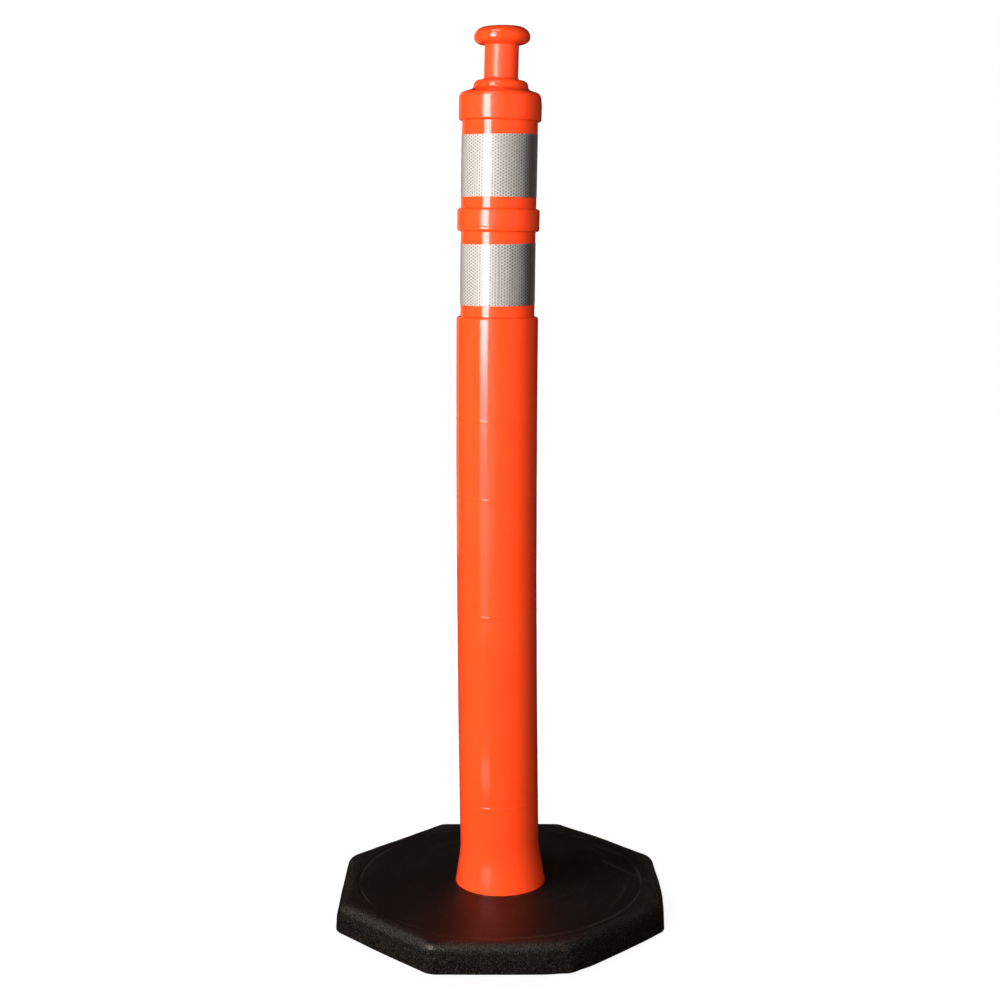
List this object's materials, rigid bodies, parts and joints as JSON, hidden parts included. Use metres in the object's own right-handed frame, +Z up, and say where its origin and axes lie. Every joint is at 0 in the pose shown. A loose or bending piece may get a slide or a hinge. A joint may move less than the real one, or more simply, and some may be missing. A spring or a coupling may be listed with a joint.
{
  "type": "delineator post",
  "caption": "Hollow orange traffic delineator post with a grab knob and reflective bands, held down by a heavy octagonal slip-over rubber base.",
  "frame": {"origin": "centre of the octagonal base on the ground, on the post's axis", "axes": "+Z up along the post from the base to the knob; the base's flat sides face X and Y"},
  "size_m": [0.418, 0.418, 1.125],
  "materials": {
    "orange_plastic": "satin",
    "reflective_film": "gloss",
    "black_rubber": "matte"
  },
  "bodies": {
    "post": {"post_shell": "orange_plastic", "upper_reflective_band": "reflective_film", "lower_reflective_band": "reflective_film"},
    "base": {"rubber_base": "black_rubber"}
  },
  "joints": [
    {"name": "base_slide", "type": "slide", "parent": "post", "child": "base", "axis": [0, 0, 1], "range_m": [0, 1.14]}
  ]
}
